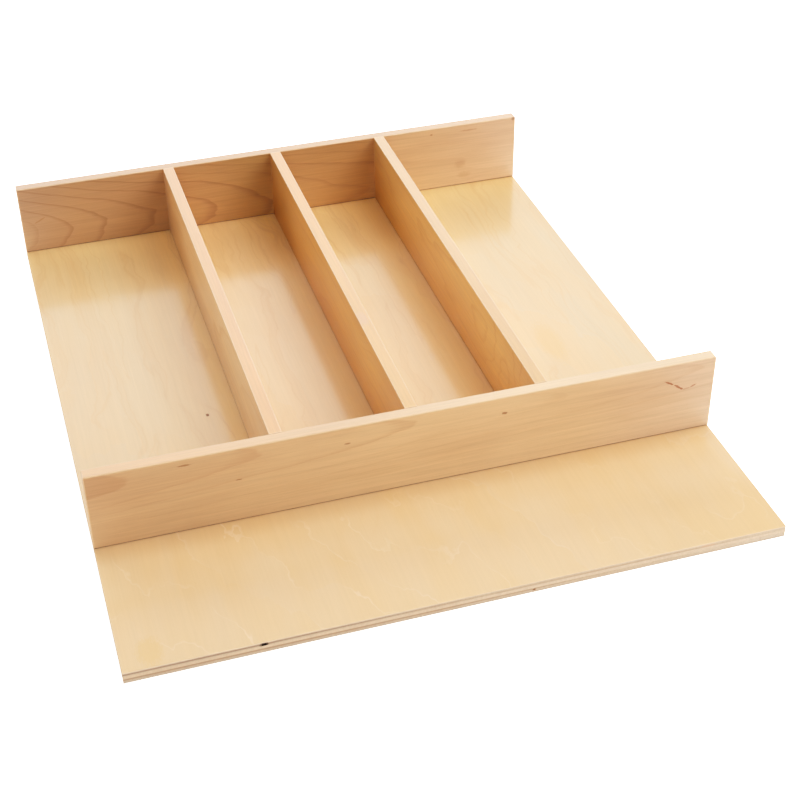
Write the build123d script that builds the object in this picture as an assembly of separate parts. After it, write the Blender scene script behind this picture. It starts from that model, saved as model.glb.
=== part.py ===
from build123d import *
import os

# A wooden drawer organizer insert: a plywood base that is cut down to suit the drawer, a solid
# wood rail across the back, another set back from the front edge, and dividers between the two.
# Every board is its own solid, and so is each ply of the base and each staple that holds them.
#
# The origin is the middle of the base's underside. +X runs to the right, +Y to the back of the
# drawer and +Z up. All sizes are in millimetres.

# Driving dimensions
OVERALL_WIDTH = 469.9     # side to side
OVERALL_DEPTH = 558.8     # front edge of the base to the back rail's outer face
BOARD_THICKNESS = 9.5     # rails and dividers
BOARD_HEIGHT = 63.5       # rails and dividers, above the base
APRON_DEPTH = 124.0       # base in front of the front rail, left on for trimming
DIVIDER_PITCH = 99.2      # centre to centre
BOARD_ARRIS = 0.6         # sanded corner on the solid boards
VENEER_ARRIS = 0.3        # sanded corner on the outer plies

# The plies of the base, from its underside up
PLY_THICKNESSES = {
    "base_back_veneer": 1.3,
    "base_crossband_lower": 2.6,
    "base_core_ply": 2.0,
    "base_crossband_upper": 2.6,
    "base_face_veneer": 1.0,
}

# Narrow-crown wire staples, driven up through the base
WIRE_WIDTH = 1.25         # across the crown
WIRE_THICKNESS = 1.0      # along the crown
CROWN_WIDTH = 5.7
LEG_LENGTH = 31.7
CROWN_SINK = 0.5          # underside of the base to the crown
CROWN_CORNER = 0.8        # bend at each end of the crown
RAIL_STAPLES = 5
DIVIDER_STAPLES = 4
END_MARGIN = 30.0         # end of a board to its first staple

# Worked out from the above
BASE_THICKNESS = sum(PLY_THICKNESSES.values())
HALF_WIDTH = OVERALL_WIDTH / 2
HALF_DEPTH = OVERALL_DEPTH / 2
FRONT_RAIL_Y = -HALF_DEPTH + APRON_DEPTH + BOARD_THICKNESS / 2
BACK_RAIL_Y = HALF_DEPTH - BOARD_THICKNESS / 2
DIVIDER_LENGTH = BACK_RAIL_Y - FRONT_RAIL_Y - BOARD_THICKNESS
DIVIDER_Y = (BACK_RAIL_Y + FRONT_RAIL_Y) / 2
DIVIDER_X = {
    "divider_left": -DIVIDER_PITCH,
    "divider_centre": 0.0,
    "divider_right": DIVIDER_PITCH,
}


def spread(length, count):
    """Evenly spaced places along a board of this length, centred on zero."""
    reach = length / 2 - END_MARGIN
    step = 2 * reach / (count - 1)
    return [-reach + step * i for i in range(count)]


def staple():
    """One staple in place at x = y = 0, its crown along X and its legs up."""
    legs_top = CROWN_SINK + LEG_LENGTH
    outline = Rectangle(CROWN_WIDTH, LEG_LENGTH)
    gap = Rectangle(CROWN_WIDTH - 2 * WIRE_THICKNESS, LEG_LENGTH)
    bent = outline - Pos(0, WIRE_THICKNESS) * gap
    crown_corners = bent.vertices().group_by(Axis.Y)[0]
    bent = fillet(crown_corners, CROWN_CORNER)
    upright = Plane.XZ * Pos(0, legs_top - LEG_LENGTH / 2) * bent
    return extrude(upright, WIRE_WIDTH / 2, both=True)


def staple_mark():
    """The nick under a sunk crown, from the underside of the base up to the wire."""
    height = CROWN_SINK + CROWN_CORNER
    return Pos(0, 0, height / 2) * Box(CROWN_WIDTH, WIRE_WIDTH, height)


def rail_places(y):
    """Where the staples of a rail stand."""
    return [Pos(x, y, 0) for x in spread(OVERALL_WIDTH, RAIL_STAPLES)]


def divider_places(x):
    """Where the staples of a divider stand, turned to run along it."""
    steps = spread(DIVIDER_LENGTH, DIVIDER_STAPLES)
    return [Pos(x, DIVIDER_Y + y, 0) * Rot(0, 0, 90) for y in steps]


def rail(y):
    """A board across the insert, with its top and end corners sanded."""
    board = Pos(0, y, BASE_THICKNESS + BOARD_HEIGHT / 2) * Box(OVERALL_WIDTH, BOARD_THICKNESS, BOARD_HEIGHT)
    top_edges = board.edges().group_by(Axis.Z)[-1]
    end_edges = board.edges().filter_by(Axis.Z)
    return fillet(top_edges + end_edges, BOARD_ARRIS)


def divider(x):
    """A board from rail to rail, with its two long top corners sanded."""
    board = Pos(x, DIVIDER_Y, BASE_THICKNESS + BOARD_HEIGHT / 2) * Box(BOARD_THICKNESS, DIVIDER_LENGTH, BOARD_HEIGHT)
    long_edges = board.edges().filter_by(Axis.Y).group_by(Axis.Z)[-1]
    return fillet(long_edges, BOARD_ARRIS)


def plies():
    """The layers of the base. The two outer ones have sanded edges."""
    made = {}
    low = 0.0
    for name, thickness in PLY_THICKNESSES.items():
        made[name] = Pos(0, 0, low + thickness / 2) * Box(OVERALL_WIDTH, OVERALL_DEPTH, thickness)
        low += thickness
    under = made["base_back_veneer"]
    made["base_back_veneer"] = chamfer(under.edges().group_by(Axis.Z)[0], VENEER_ARRIS)
    top = made["base_face_veneer"]
    made["base_face_veneer"] = chamfer(top.edges().group_by(Axis.Z)[-1], VENEER_ARRIS)
    return made


boards = {"front_rail": rail(FRONT_RAIL_Y), "back_rail": rail(BACK_RAIL_Y)}
places = {"front_rail": rail_places(FRONT_RAIL_Y), "back_rail": rail_places(BACK_RAIL_Y)}
for name, x in DIVIDER_X.items():
    boards[name] = divider(x)
    places[name] = divider_places(x)

# Each board is cut by its own staples, and the plies by all of them.
wire = staple()
nick = staple_mark()
nodes = {}
base = plies()
for name, board in boards.items():
    wires = [place * wire for place in places[name]]
    nicks = [place * nick for place in places[name]]
    nodes[name] = board - wires
    nodes[name + "_staples"] = Compound(children=wires)
    for ply_name, ply in base.items():
        base[ply_name] = ply - (wires + nicks)
nodes.update(base)

os.makedirs("parts", exist_ok=True)
for name, shape in nodes.items():
    export_step(shape, f"parts/{name}.step")
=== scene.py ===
"""Looks of a wooden drawer organizer insert: a plywood base, two rails, three dividers and staples."""
import logging
import math
from collections.abc import Iterable
from dataclasses import dataclass, field
from enum import Enum

import bmesh
import bpy
from mathutils import Matrix, Vector, noise


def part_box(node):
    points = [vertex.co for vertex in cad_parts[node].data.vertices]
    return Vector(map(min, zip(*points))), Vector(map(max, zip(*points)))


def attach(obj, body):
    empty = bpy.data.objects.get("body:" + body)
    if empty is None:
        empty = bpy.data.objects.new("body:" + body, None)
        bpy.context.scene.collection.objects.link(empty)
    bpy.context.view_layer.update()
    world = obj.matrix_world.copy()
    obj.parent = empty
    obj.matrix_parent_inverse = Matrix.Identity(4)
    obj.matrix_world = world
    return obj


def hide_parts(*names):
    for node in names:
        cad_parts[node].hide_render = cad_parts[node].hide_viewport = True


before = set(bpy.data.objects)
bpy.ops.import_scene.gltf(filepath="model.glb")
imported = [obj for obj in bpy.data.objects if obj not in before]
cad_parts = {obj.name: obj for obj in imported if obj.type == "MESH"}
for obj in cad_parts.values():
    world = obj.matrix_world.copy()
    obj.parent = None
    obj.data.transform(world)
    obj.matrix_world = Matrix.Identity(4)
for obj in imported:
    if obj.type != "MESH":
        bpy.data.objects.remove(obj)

LOG = logging.getLogger("insert")
MM = 0.001
BODY = "root"

Colour = tuple[float, float, float]
Triple = tuple[float, float, float]
Stops = tuple[tuple[float, Colour], ...]


# ---------------------------------------------------------------------------------------------
# Shader wiring


class Signal:
    """A number, vector or colour that flows through a node tree, so that a pattern reads as a sum."""

    def __init__(self, wiring: "Wiring", socket: bpy.types.NodeSocket) -> None:
        """Keeps the socket that gives the signal, and the wiring that it belongs to."""
        self.wiring = wiring
        self.socket = socket

    def __add__(self, other: "Feed") -> "Signal":
        """Adds."""
        return self.wiring.math("ADD", self, other)

    def __sub__(self, other: "Feed") -> "Signal":
        """Takes away."""
        return self.wiring.math("SUBTRACT", self, other)

    def __rsub__(self, other: "Feed") -> "Signal":
        """Takes the signal away from something else."""
        return self.wiring.math("SUBTRACT", other, self)

    def __mul__(self, other: "Feed") -> "Signal":
        """Multiplies."""
        return self.wiring.math("MULTIPLY", self, other)

    def __truediv__(self, other: "Feed") -> "Signal":
        """Divides."""
        return self.wiring.math("DIVIDE", self, other)

    def step(self, low: float, high: float) -> "Signal":
        """Rises smoothly from 0 at low to 1 at high, or falls where low is the larger."""
        return self.wiring.step(self, low, high)

    def clamped(self) -> "Signal":
        """Keeps the signal between 0 and 1."""
        return self.wiring.math("ADD", self, 0.0, clamp=True)

    def parts(self) -> list["Signal"]:
        """Splits a vector into its three numbers."""
        return self.wiring.outputs("ShaderNodeSeparateXYZ", self)

    def length(self) -> "Signal":
        """Measures a vector."""
        return self.wiring.outputs("ShaderNodeVectorMath", self, operation="LENGTH")[1]


Feed = float | Triple | Signal


class Wiring:
    """Adds nodes to one node tree and links them."""

    def __init__(self, tree: bpy.types.NodeTree) -> None:
        """Keeps the tree that the nodes go into."""
        self.tree = tree

    def feed(self, socket: bpy.types.NodeSocket, value: Feed) -> None:
        """Links a socket to a signal, or sets its constant.

        Args:
            socket: the input socket.
            value: a signal to link, or a number, vector or colour to set.
        """
        if isinstance(value, Signal):
            self.tree.links.new(value.socket, socket)
        elif socket.type == "RGBA":
            socket.default_value = (*value, 1.0)
        else:
            socket.default_value = value

    def node(self, kind: str, *values: Feed, **settings: object) -> bpy.types.Node:
        """Adds a node.

        Args:
            kind: the node's type name.
            *values: what feeds its inputs, in order.
            **settings: properties to set on the node.

        Returns:
            The new node.
        """
        made = self.tree.nodes.new(kind)
        for name, value in settings.items():
            setattr(made, name, value)
        for socket, value in zip(made.inputs, values):
            self.feed(socket, value)
        return made

    def outputs(self, kind: str, *values: Feed, **settings: object) -> list[Signal]:
        """Adds a node and gives its outputs as signals, in order."""
        return [Signal(self, socket) for socket in self.node(kind, *values, **settings).outputs]

    def math(self, operation: str, *values: Feed, clamp: bool = False) -> Signal:
        """Works out one sum, on vectors if any input is a vector.

        Args:
            operation: the operation of the Math or Vector Math node.
            *values: its inputs, in order.
            clamp: whether a number is kept between 0 and 1.

        Returns:
            The result.
        """
        for value in values:
            if isinstance(value, tuple) or isinstance(value, Signal) and value.socket.type == "VECTOR":
                return self.outputs("ShaderNodeVectorMath", *values, operation=operation)[0]
        return self.outputs("ShaderNodeMath", *values, operation=operation, use_clamp=clamp)[0]

    def joined(self, x: Feed, y: Feed, z: Feed) -> Signal:
        """Makes a vector from three numbers."""
        return self.outputs("ShaderNodeCombineXYZ", x, y, z)[0]

    def step(self, value: Feed, low: float, high: float) -> Signal:
        """Rises smoothly from 0 at low to 1 at high, or falls where low is the larger.

        Args:
            value: the number that is tested.
            low: where the result is 0.
            high: where the result is 1.

        Returns:
            The mask.
        """
        ends = (0.0, 1.0) if low < high else (1.0, 0.0)
        return self.outputs(
            "ShaderNodeMapRange", value, min(low, high), max(low, high), *ends,
            interpolation_type="SMOOTHSTEP",
        )[0]

    def cloud(self, place: Signal, detail: float = 2.0, rough: float = 0.5) -> Signal:
        """Reads soft noise at a place whose axes are already scaled.

        Args:
            place: where the noise is read.
            detail: its octaves.
            rough: how strong the fine octaves are.

        Returns:
            The noise, about 0.5 on average.
        """
        made = self.node("ShaderNodeTexNoise", noise_dimensions="3D")
        for label, value in (("Vector", place), ("Scale", 1.0), ("Detail", detail), ("Roughness", rough)):
            self.feed(made.inputs[label], value)
        return Signal(self, made.outputs["Fac"])

    def chance(self, count: Signal, seed: Feed) -> Signal:
        """Draws a number from 0 to 1 for each whole part of a count."""
        place = self.joined(self.math("FLOOR", count), seed, 0.0)
        return self.outputs("ShaderNodeTexWhiteNoise", place, noise_dimensions="2D")[0]

    def blend(self, amount: Feed, first: Feed, second: Feed, mode: str = "MIX") -> Signal:
        """Mixes two colours.

        Args:
            amount: how much of the second one shows.
            first: the colour below.
            second: the colour laid over it.
            mode: the Mix node's blend type.

        Returns:
            The mixed colour.
        """
        made = self.node("ShaderNodeMix", amount, data_type="RGBA", blend_type=mode, clamp_factor=True)
        self.feed(made.inputs[6], first)
        self.feed(made.inputs[7], second)
        return Signal(self, made.outputs[2])

    def toned(self, distance: Signal, stops: Stops) -> Signal:
        """Reads a colour that changes along a distance.

        Args:
            distance: the distance.
            stops: the colour at each distance, in order.

        Returns:
            The colour.
        """
        first, span = stops[0][0], stops[-1][0] - stops[0][0]
        made = self.node("ShaderNodeValToRGB", (distance - first) / span)
        ramp = made.color_ramp
        ramp.interpolation = "EASE"
        ramp.elements[0].color = (*stops[0][1], 1.0)
        ramp.elements[1].color = (*stops[-1][1], 1.0)
        for at, colour in stops[1:-1]:
            ramp.elements.new((at - first) / span).color = (*colour, 1.0)
        return Signal(self, made.outputs["Color"])


class Pattern(Wiring):
    """A shader node group with named inputs and outputs, built once."""

    def __init__(self, name: str, inputs: dict[str, float | Triple], outputs: Iterable[str]) -> None:
        """Makes the empty group.

        Args:
            name: the group's name.
            inputs: each input's name and default, a number or a vector, after the Place that all have.
            outputs: the names of its outputs, each a number.
        """
        super().__init__(bpy.data.node_groups.new(name, "ShaderNodeTree"))
        for label, default in {"Place": (0.0, 0.0, 0.0), **inputs}.items():
            kind = "NodeSocketFloat" if isinstance(default, float) else "NodeSocketVector"
            socket = self.tree.interface.new_socket(name=label, in_out="INPUT", socket_type=kind)
            socket.default_value = default
        for label in outputs:
            self.tree.interface.new_socket(name=label, in_out="OUTPUT", socket_type="NodeSocketFloat")
        given = self.node("NodeGroupInput").outputs
        self.given = {socket.name: Signal(self, socket) for socket in given if socket.name}
        self.result = self.node("NodeGroupOutput").inputs

    def put(self, label: str, value: Signal) -> None:
        """Links one of the group's outputs."""
        self.feed(self.result[label], value)

    def seed(self) -> Signal:
        """Gives an offset that is the same on all three axes."""
        return self.joined(*[self.given["Seed"]] * 3)

    def use(self, wiring: Wiring, **values: Feed) -> dict[str, Signal]:
        """Places the group in a material.

        Args:
            wiring: the material's wiring.
            **values: the inputs to feed, with underscores for the spaces in their names.

        Returns:
            The group's outputs by name.
        """
        placed = wiring.node("ShaderNodeGroup", node_tree=self.tree)
        for label, value in values.items():
            wiring.feed(placed.inputs[label.replace("_", " ")], value)
        return {socket.name: Signal(wiring, socket) for socket in placed.outputs}


def ring_figure() -> Pattern:
    """Growth rings of a board sawn off the heart: nested tongues on its face, lines on its edge.

    Place is in millimetres: x along the grain, y across the show face, z into the board. The heart
    runs along the grain at y = Heart, Depth in front of the face, and the trunk tapers.

    Returns:
        The group, with the late-wood Line, the tone of each Ring, and Heartwood in the first ring.
    """
    made = Pattern(
        "ring_figure",
        {
            "Heart": 8.0, "Depth": 69.0, "Taper": 0.0245, "Reach": 4000.0, "Spacing": 2.5, "Wander": 3.0,
            "Knot": (-500.0, 0.0, 0.0), "Knot Size": 20.0, "Knot Lift": 0.0, "Shift": 0.0, "Seed": 0.0,
        },
        ("Line", "Ring", "Heartwood"),
    )
    given = made.given
    place = given["Place"]
    x, y, z = place.parts()
    slow = made.cloud(place * (0.008, 0.035, 0.035) + made.seed(), 1.0)
    quick = made.cloud(place * (0.035, 0.10, 0.10) + made.seed(), 2.0)
    drift = (slow - 0.5) * given["Wander"]
    ripple = (quick - 0.5) * given["Wander"] * 0.3

    radius = made.joined(y - given["Heart"], z + given["Depth"], 0.0).length()
    fade = made.math("EXPONENT", x / given["Reach"] * -1.0)
    cone = (1.0 - fade) * given["Reach"] * given["Taper"]
    near = (place - given["Knot"]).length() / given["Knot Size"]
    lift = made.math("EXPONENT", near * near * -1.0) * given["Knot Lift"]

    total = radius + cone - given["Depth"] + (drift + ripple + lift)
    count = total / given["Spacing"] + given["Shift"]
    ramp = made.math("FRACT", count)
    rise = ramp.step(0.68, 0.96)
    made.put("Line", rise * rise * ramp.step(1.0, 0.96))
    made.put("Ring", made.chance(count, given["Seed"]))
    made.put("Heartwood", count.step(1.04, 0.80))
    return made


def wood_fibre() -> Pattern:
    """Fine fibre along the grain, short dark pore flecks, and soft cloudy tone.

    Returns:
        The group, with Fibre and Cloud about 0.5 on average, and the Fleck mask.
    """
    made = Pattern(
        "wood_fibre", {"Fleck Share": 0.66, "Seed": 0.0}, ("Fibre", "Fleck", "Cloud"),
    )
    place = made.given["Place"] + made.seed() * (37.0, 11.0, 5.0)
    coarse = made.cloud(place * (0.012, 0.55, 0.55), 3.0, 0.6)
    fine = made.cloud(place * (0.05, 2.6, 2.6), 2.0, 0.6)
    made.put("Fibre", coarse * 0.6 + fine * 0.4)
    speck = made.cloud(place * (0.33, 2.1, 2.1), 1.0)
    made.put("Fleck", ((speck - made.given["Fleck Share"]) * 9.0).clamped())
    made.put("Cloud", made.cloud(place * (0.007, 0.028, 0.028), 2.0, 0.55))
    return made


def veneer_contour() -> Pattern:
    """Figure of a peeled veneer: wandering contour lines, pale on one side, and long streaks.

    Returns:
        The group, with the pale Contour line, the tone of each Field between lines, long soft
        Streaks about 0.5 on average, and the thin brown Threads that outline them.
    """
    made = Pattern(
        "veneer_contour",
        {"Slant": 0.6, "Spacing": 42.0, "Wander": 2.4, "Seed": 0.0},
        ("Contour", "Field", "Streak", "Thread"),
    )
    given = made.given
    place = given["Place"]
    x, y, z = place.parts()
    broad = made.cloud(place * (0.010, 0.020, 0.02) + made.seed(), 1.0)
    small = made.cloud(place * (0.045, 0.075, 0.07) + made.seed(), 2.5)
    sway = (broad - 0.5) * given["Wander"] + (small - 0.5) * given["Wander"] * 0.36
    height = (y + x * given["Slant"]) / given["Spacing"] + sway
    ramp = made.math("FRACT", height)
    gate = made.cloud(place * (0.018, 0.018, 0.0), 1.0).step(0.38, 0.62)
    made.put("Contour", ramp.step(0.0, 0.02) * ramp.step(0.085, 0.02) * gate)
    made.put("Field", made.chance(height, given["Seed"]))
    long_bend = made.cloud(place * (0.006, 0.015, 0.0), 1.0) * 60.0
    short_bend = made.cloud(place * (0.03, 0.03, 0.0), 2.0) * 16.0
    bent = made.joined(x * 0.003, (y + (long_bend + short_bend)) * 0.055, z)
    streak = made.cloud(bent + made.seed(), 2.0)
    made.put("Streak", streak)
    near = made.math("ABSOLUTE", made.math("FRACT", streak * 4.0) - 0.5)
    made.put("Thread", near.step(0.09, 0.0))
    return made


def spot() -> Pattern:
    """One mark in the wood: a ragged oval at a place, level with the grain or sloping across it.

    Returns:
        The group, with its Mask.
    """
    made = Pattern(
        "spot",
        {"Centre": (0.0, 0.0, 0.0), "Size": (1.0, 1.0, 1.0), "Slope": 0.0, "Ragged": 0.3, "Soft": 0.2},
        ("Mask",),
    )
    given = made.given
    x, y, z = (given["Place"] - given["Centre"]).parts()
    scaled = made.joined(x, y - x * given["Slope"], z) / given["Size"]
    rough = made.cloud(given["Place"] * (0.35, 0.9, 0.9), 2.0)
    past = scaled.length() + (rough - 0.5) * given["Ragged"] * 4.0 - 1.0
    made.put("Mask", (past / given["Soft"]).step(1.0, -1.0))
    return made


def highlit_rubbed_edge() -> Pattern:
    """Where a box-shaped piece's corners are lightened, as painted highlight and rubbed wear: near any two
    of its faces at once.

    Returns:
        The group, with its Mask.
    """
    made = Pattern(
        "highlit_rubbed_edge", {"Low": (0.0, 0.0, 0.0), "High": (1.0, 1.0, 1.0), "Width": 1.0}, ("Mask",),
    )
    given = made.given
    inside = made.math("MINIMUM", given["Place"] - given["Low"], given["High"] - given["Place"])
    near = [(gap / given["Width"]).step(1.0, 0.2) for gap in inside.parts()]
    made.put("Mask", (near[0] + near[1] + near[2] - 1.0).clamped())
    return made


def sawn_end() -> Pattern:
    """The cut ends of fibres, where a face looks along the grain: fine open pores.

    Returns:
        The group, with the End mask and the Pores on it.
    """
    made = Pattern("sawn_end", {"Facing": (0.0, 0.0, 1.0), "Pore Scale": 1.6}, ("End", "Pores"))
    given = made.given
    along = given["Facing"].parts()[0]
    made.put("End", made.math("ABSOLUTE", along).step(0.5, 0.8))
    pores = made.node("ShaderNodeTexVoronoi", feature="F1")
    made.feed(pores.inputs["Vector"], given["Place"] * (0.2, 1.0, 1.0))
    made.feed(pores.inputs["Scale"], given["Pore Scale"])
    made.put("Pores", Signal(made, pores.outputs["Distance"]).step(0.32, 0.12))
    return made


PATTERNS = {
    build.__name__: build()
    for build in (ring_figure, wood_fibre, veneer_contour, spot, highlit_rubbed_edge, sawn_end)
}


# ---------------------------------------------------------------------------------------------
# Finishes


class Lay(Enum):
    """How a piece lies: which of its own axes run along the grain, across its face and into it."""

    RAIL = "grain to the right, show face to the front"
    DIVIDER = "grain to the back, show face to the right"
    SHEET = "grain to the back, show face up"


@dataclass(frozen=True)
class Box:
    """The lowest and highest corners of a piece, in metres."""

    low: Vector
    high: Vector

    @classmethod
    def of(cls, *nodes: str) -> "Box":
        """Measures CAD nodes.

        Args:
            *nodes: the nodes' names.

        Returns:
            The box that holds them all.
        """
        lows, highs = zip(*(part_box(node) for node in nodes))
        return cls(Vector([min(axis) for axis in zip(*lows)]), Vector([max(axis) for axis in zip(*highs)]))

    @property
    def middle(self) -> Vector:
        """The box's middle."""
        return (self.low + self.high) / 2

    @property
    def size(self) -> Vector:
        """The box's three sides."""
        return self.high - self.low


@dataclass(frozen=True)
class Mark:
    """A mark in the wood, natural or a painted shadow, in millimetres along the grain, across the face and
    into it.
    """

    centre: Triple
    size: Triple
    colour: Colour
    strength: float = 0.8
    slope: float = 0.0
    ragged: float = 0.3
    soft: float = 0.2


class Surface(Wiring):
    """A new material on one piece, whose patterns read millimetres in the piece's own axes."""

    def __init__(self, name: str, lay: Lay, box: Box) -> None:
        """Makes the material, and works out the place and facing along the grain, across and into the piece.

        Args:
            name: the material's name.
            lay: how the piece lies.
            box: the piece's box.
        """
        self.material = bpy.data.materials.new(name)
        self.material.use_nodes = True
        super().__init__(self.material.node_tree)
        self.shader = self.tree.nodes["Principled BSDF"]
        self.lay = lay
        self.low, self.high = (tuple(corner / MM) for corner in (box.low, box.high))
        self.width, self.depth, self.height = box.size / MM
        scale, turn, corner = {
            Lay.RAIL: ((1, 1, 1), (90, 0, 0), (-box.low.x, box.high.z, -box.low.y)),
            Lay.DIVIDER: ((1, 1, 1), (90, 90, 0), (-box.low.y, box.high.z, box.high.x)),
            Lay.SHEET: ((-1, 1, 1), (0, 0, -90), (-box.low.y, -box.low.x, -box.low.z)),
        }[lay]
        source = self.node("ShaderNodeTexCoord").outputs
        places = []
        for output, unit, offset in (("Object", 1 / MM, corner), ("Normal", 1.0, (0, 0, 0))):
            mapping = self.node("ShaderNodeMapping", Signal(self, source[output]), vector_type="POINT")
            mapping.inputs["Scale"].default_value = [axis * unit for axis in scale]
            mapping.inputs["Rotation"].default_value = [math.radians(angle) for angle in turn]
            mapping.inputs["Location"].default_value = [value * unit for value in offset]
            places.append(Signal(self, mapping.outputs["Vector"]))
        self.place, self.facing = places
        self.real = Signal(self, source["Object"]) * ((1 / MM,) * 3)

    def put(self, label: str, value: Feed) -> None:
        """Feeds one of the shader's inputs."""
        self.feed(self.shader.inputs[label], value)

    def pattern(self, name: str, **values: Feed) -> dict[str, Signal]:
        """Places a pattern that reads the piece's own axes."""
        return PATTERNS[name].use(self, **{"Place": self.place, **values})

    def shaded(self, colour: Feed, fibre: dict[str, Signal], strength: Feed) -> Signal:
        """Darkens and lightens a colour with the fibre.

        Args:
            colour: the colour so far.
            fibre: the wood_fibre pattern.
            strength: how strongly.

        Returns:
            The shaded colour.
        """
        silk = (fibre["Fibre"] - 0.5) * strength + 1.0
        return self.blend(1.0, colour, self.joined(silk, silk, silk), "MULTIPLY")

    def marked(self, colour: Feed, marks: Iterable[Mark]) -> tuple[Feed, Feed]:
        """Lays marks over a colour: natural ones, and painted shadow in a void.

        Args:
            colour: the colour so far.
            marks: the marks.

        Returns:
            The marked colour, and how deep the surface is marked.
        """
        depth: Feed = 0.0
        for mark in marks:
            mask = self.pattern(
                "spot", Centre=mark.centre, Size=mark.size, Slope=mark.slope, Ragged=mark.ragged,
                Soft=mark.soft,
            )["Mask"]
            amount = mask * mark.strength
            colour = self.blend(amount, colour, mark.colour)
            depth = self.math("MAXIMUM", depth, amount)
        return colour, depth

    def relief(self, height: Signal, distance: float, strength: float) -> None:
        """Gives the surface a fine relief.

        Args:
            height: the height, from 0 to 1.
            distance: the real height of 1, in metres.
            strength: how much of it shows.
        """
        bump = self.node("ShaderNodeBump")
        bump.inputs["Distance"].default_value = distance
        bump.inputs["Strength"].default_value = strength
        self.feed(bump.inputs["Height"], height)
        self.put("Normal", Signal(self, bump.outputs["Normal"]))


@dataclass(frozen=True)
class Finish:
    """What every finish has: its slot name and how it shines."""

    slot: str
    roughness: float
    lacquer: float
    lacquer_roughness: float
    bare_gloss: float

    def material(self, name: str, lay: Lay, box: Box) -> bpy.types.Material:
        """Makes the finish for one piece.

        Args:
            name: the material's name.
            lay: how the piece lies.
            box: the piece's box.

        Returns:
            The material.
        """
        surface = Surface(name, lay, box)
        surface.put("Coat Weight", self.lacquer)
        surface.put("Coat Roughness", self.lacquer_roughness)
        surface.put("Specular IOR Level", self.bare_gloss)
        self.paint(surface)
        return surface.material

    def paint(self, s: Surface) -> None:
        """Lays the finish's own patterns on a surface."""
        raise NotImplementedError


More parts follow.
